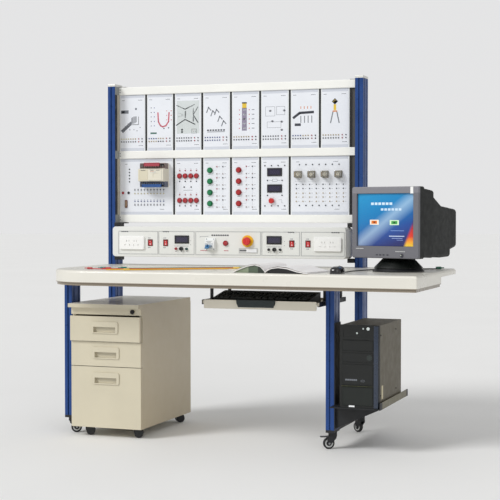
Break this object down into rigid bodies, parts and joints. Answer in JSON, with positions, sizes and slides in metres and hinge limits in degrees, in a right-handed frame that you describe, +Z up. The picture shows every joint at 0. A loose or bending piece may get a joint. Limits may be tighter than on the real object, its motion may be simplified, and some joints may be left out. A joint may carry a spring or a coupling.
{
  "type": "plc training bench",
  "caption": "Teaching bench for programmable controllers: desk on blue slotted posts, rack of wired modules, power console, drawer pedestal, keyboard tray, computer and tube monitor.",
  "frame": {"origin": "on the floor under the middle of the desk top", "axes": "+X to the user's right along the desk, +Y from the user towards the rack, +Z up"},
  "size_m": [1.8314, 0.81, 1.722],
  "materials": {
    "desk_laminate": "pale ivory laminate, satin",
    "profile_blue": "blue anodised extrusion, satin",
    "black_steel": "black powder coat",
    "ivory_steel": "ivory powder coat",
    "bracket_black": "black plastic clamp",
    "panel_grey": "cool white engraved laminate",
    "cream_plastic": "cream moulded plastic",
    "red_plastic": "red glossy plastic",
    "green_plastic": "green glossy plastic",
    "clear_plastic": "clear relay covers over pale works",
    "white_plastic": "white moulded plastic",
    "blue_plastic": "blue lever",
    "black_plastic": "black fine-textured plastic",
    "slate_plastic": "dark slate monitor casing",
    "tray_ivory": "ivory sheet steel",
    "dark_foam": "dark padded rest",
    "tower_olive": "olive grey steel case",
    "screen_glass": "picture tube face",
    "pedestal_beige": "beige powder coat",
    "black_rubber": "black tyre with grey centre",
    "paper_white": "stacked paper pages",
    "red_cord": "red silicone lead",
    "green_cord": "green silicone lead",
    "yellow_cord": "yellow silicone lead",
    "black_cord": "black lead"
  },
  "bodies": {
    "bench": {"desk_top": "desk_laminate", "frame_posts": "profile_blue", "base_plates": "black_steel", "panel_rails": "ivory_steel", "post_brackets": "bracket_black", "module_panels": "panel_grey", "plc_controller": "cream_plastic", "indicator_lamps": "red_plastic", "relays": "clear_plastic", "console_case": "ivory_steel", "console_fascia": "ivory_steel", "outlet_plates": "white_plastic", "breaker_body": "white_plastic", "tray_runners": "black_steel", "cpu_holder": "black_steel", "pc_tower": "tower_olive", "monitor_foot": "black_plastic", "mouse": "black_plastic", "manual": "paper_white", "lead_plugs": "red_plastic", "red_lead": "red_cord", "green_lead": "green_cord", "yellow_lead": "yellow_cord", "mouse_lead": "black_cord"},
    "knob": {"test_knob": "red_plastic"},
    "breaker_lever": {"breaker_toggle": "blue_plastic"},
    "stop_head": {"stop_button_head": "red_plastic"},
    "tray": {"keyboard_tray": "tray_ivory", "wrist_rest": "dark_foam", "keyboard": "black_plastic"},
    "monitor": {"monitor_case": "slate_plastic", "monitor_screen": "screen_glass"},
    "pedestal": {"pedestal_body": "pedestal_beige"},
    "top_drawer_unit": {"top_drawer": "pedestal_beige"},
    "middle_drawer_unit": {"middle_drawer": "pedestal_beige"},
    "file_drawer_unit": {"file_drawer": "pedestal_beige"},
    "start_1": {"start_button_1": "green_plastic"},
    "stop_1": {"stop_button_1": "red_plastic"},
    "start_2": {"start_button_2": "green_plastic"},
    "stop_2": {"stop_button_2": "red_plastic"},
    "start_3": {"start_button_3": "green_plastic"},
    "stop_3": {"stop_button_3": "red_plastic"},
    "start_4": {"start_button_4": "green_plastic"},
    "stop_4": {"stop_button_4": "red_plastic"},
    "rocker_1_paddle": {"rocker_1": "red_plastic"},
    "rocker_2_paddle": {"rocker_2": "red_plastic"},
    "rocker_3_paddle": {"rocker_3": "red_plastic"},
    "rocker_4_paddle": {"rocker_4": "red_plastic"},
    "fork_1": {"caster_fork_1": "black_steel"},
    "wheel_1": {"caster_wheel_1": "black_rubber"},
    "fork_2": {"caster_fork_2": "black_steel"},
    "wheel_2": {"caster_wheel_2": "black_rubber"},
    "fork_3": {"caster_fork_3": "black_steel"},
    "wheel_3": {"caster_wheel_3": "black_rubber"},
    "fork_4": {"caster_fork_4": "black_steel"},
    "wheel_4": {"caster_wheel_4": "black_rubber"},
    "small_caster_1": {"pedestal_caster_1": "black_plastic"},
    "small_caster_2": {"pedestal_caster_2": "black_plastic"},
    "small_caster_3": {"pedestal_caster_3": "black_plastic"},
    "small_caster_4": {"pedestal_caster_4": "black_plastic"}
  },
  "joints": [
    {"name": "start_button_1_press", "type": "slide", "parent": "bench", "child": "start_1", "axis": [0, 1, 0], "range_m": [0, 0.004], "stiffness_N_per_m": 500, "springref_m": -0.002},
    {"name": "stop_button_1_press", "type": "slide", "parent": "bench", "child": "stop_1", "axis": [0, 1, 0], "range_m": [0, 0.004], "stiffness_N_per_m": 500, "springref_m": -0.002},
    {"name": "start_button_2_press", "type": "slide", "parent": "bench", "child": "start_2", "axis": [0, 1, 0], "range_m": [0, 0.004], "stiffness_N_per_m": 500, "springref_m": -0.002},
    {"name": "stop_button_2_press", "type": "slide", "parent": "bench", "child": "stop_2", "axis": [0, 1, 0], "range_m": [0, 0.004], "stiffness_N_per_m": 500, "springref_m": -0.002},
    {"name": "start_button_3_press", "type": "slide", "parent": "bench", "child": "start_3", "axis": [0, 1, 0], "range_m": [0, 0.004], "stiffness_N_per_m": 500, "springref_m": -0.002},
    {"name": "stop_button_3_press", "type": "slide", "parent": "bench", "child": "stop_3", "axis": [0, 1, 0], "range_m": [0, 0.004], "stiffness_N_per_m": 500, "springref_m": -0.002},
    {"name": "start_button_4_press", "type": "slide", "parent": "bench", "child": "start_4", "axis": [0, 1, 0], "range_m": [0, 0.004], "stiffness_N_per_m": 500, "springref_m": -0.002},
    {"name": "stop_button_4_press", "type": "slide", "parent": "bench", "child": "stop_4", "axis": [0, 1, 0], "range_m": [0, 0.004], "stiffness_N_per_m": 500, "springref_m": -0.002},
    {"name": "knob_turn", "type": "hinge", "parent": "bench", "child": "knob", "pos_m": [-0.01498, 0.3703, 1.123], "axis": [0, -1, 0], "range_deg": [-150, 150]},
    {"name": "breaker_lever_throw", "type": "hinge", "parent": "bench", "child": "breaker_lever", "pos_m": [-0.29916, 0.223, 0.901], "axis": [1, 0, 0], "range_deg": [-70, 0]},
    {"name": "stop_press", "type": "slide", "parent": "bench", "child": "stop_head", "axis": [0, 1, 0], "range_m": [0, 0.005]},
    {"name": "rocker_1_throw", "type": "hinge", "parent": "bench", "child": "rocker_1_paddle", "pos_m": [-0.616, 0.242, 0.914], "axis": [1, 0, 0], "range_deg": [-18, 0]},
    {"name": "rocker_2_throw", "type": "hinge", "parent": "bench", "child": "rocker_2_paddle", "pos_m": [-0.532, 0.242, 0.914], "axis": [1, 0, 0], "range_deg": [-18, 0]},
    {"name": "rocker_3_throw", "type": "hinge", "parent": "bench", "child": "rocker_3_paddle", "pos_m": [0.132, 0.242, 0.914], "axis": [1, 0, 0], "range_deg": [-18, 0]},
    {"name": "rocker_4_throw", "type": "hinge", "parent": "bench", "child": "rocker_4_paddle", "pos_m": [0.214, 0.242, 0.914], "axis": [1, 0, 0], "range_deg": [-18, 0]},
    {"name": "tray_slide", "type": "slide", "parent": "bench", "child": "tray", "axis": [0, -1, 0], "range_m": [0, 0.25]},
    {"name": "monitor_swivel", "type": "hinge", "parent": "bench", "child": "monitor", "pos_m": [0.719, -0.005, 0.83], "axis": [0, 0, 1], "range_deg": [-25, 65]},
    {"name": "pedestal_roll", "type": "slide", "parent": "bench", "child": "pedestal", "axis": [0, -1, 0], "range_m": [0, 0.6]},
    {"name": "top_drawer_slide", "type": "slide", "parent": "pedestal", "child": "top_drawer_unit", "axis": [0, -1, 0], "range_m": [-0.012, 0.368]},
    {"name": "middle_drawer_slide", "type": "slide", "parent": "pedestal", "child": "middle_drawer_unit", "axis": [0, -1, 0], "range_m": [0, 0.38]},
    {"name": "file_drawer_slide", "type": "slide", "parent": "pedestal", "child": "file_drawer_unit", "axis": [0, -1, 0], "range_m": [0, 0.38]},
    {"name": "caster_1_swivel", "type": "hinge", "parent": "bench", "child": "fork_1", "pos_m": [-0.868, -0.115, 0.078], "axis": [0, 0, 1], "continuous": true},
    {"name": "caster_1_roll", "type": "hinge", "parent": "fork_1", "child": "wheel_1", "pos_m": [-0.85241, -0.106, 0.026], "axis": [0.5, -0.866, 0], "continuous": true},
    {"name": "caster_2_swivel", "type": "hinge", "parent": "bench", "child": "fork_2", "pos_m": [0.445, -0.115, 0.078], "axis": [0, 0, 1], "continuous": true},
    {"name": "caster_2_roll", "type": "hinge", "parent": "fork_2", "child": "wheel_2", "pos_m": [0.42926, -0.12373, 0.026], "axis": [-0.4848, 0.8746, 0], "continuous": true},
    {"name": "caster_3_swivel", "type": "hinge", "parent": "bench", "child": "fork_3", "pos_m": [0.445, 0.36, 0.078], "axis": [0, 0, 1], "continuous": true},
    {"name": "caster_3_roll", "type": "hinge", "parent": "fork_3", "child": "wheel_3", "pos_m": [0.4299, 0.3698, 0.026], "axis": [0.5446, 0.8387, 0], "continuous": true},
    {"name": "caster_4_swivel", "type": "hinge", "parent": "bench", "child": "fork_4", "pos_m": [-0.868, 0.36, 0.078], "axis": [0, 0, 1], "continuous": true},
    {"name": "caster_4_roll", "type": "hinge", "parent": "fork_4", "child": "wheel_4", "pos_m": [-0.86334, 0.37739, 0.026], "axis": [0.9659, -0.2588, 0], "continuous": true},
    {"name": "pedestal_caster_1_swivel", "type": "hinge", "parent": "pedestal", "child": "small_caster_1", "pos_m": [-0.773, -0.15, 0.046], "axis": [0, 0, 1], "continuous": true},
    {"name": "pedestal_caster_2_swivel", "type": "hinge", "parent": "pedestal", "child": "small_caster_2", "pos_m": [-0.518, -0.15, 0.046], "axis": [0, 0, 1], "continuous": true},
    {"name": "pedestal_caster_3_swivel", "type": "hinge", "parent": "pedestal", "child": "small_caster_3", "pos_m": [-0.518, 0.34, 0.046], "axis": [0, 0, 1], "continuous": true},
    {"name": "pedestal_caster_4_swivel", "type": "hinge", "parent": "pedestal", "child": "small_caster_4", "pos_m": [-0.773, 0.34, 0.046], "axis": [0, 0, 1], "continuous": true}
  ]
}
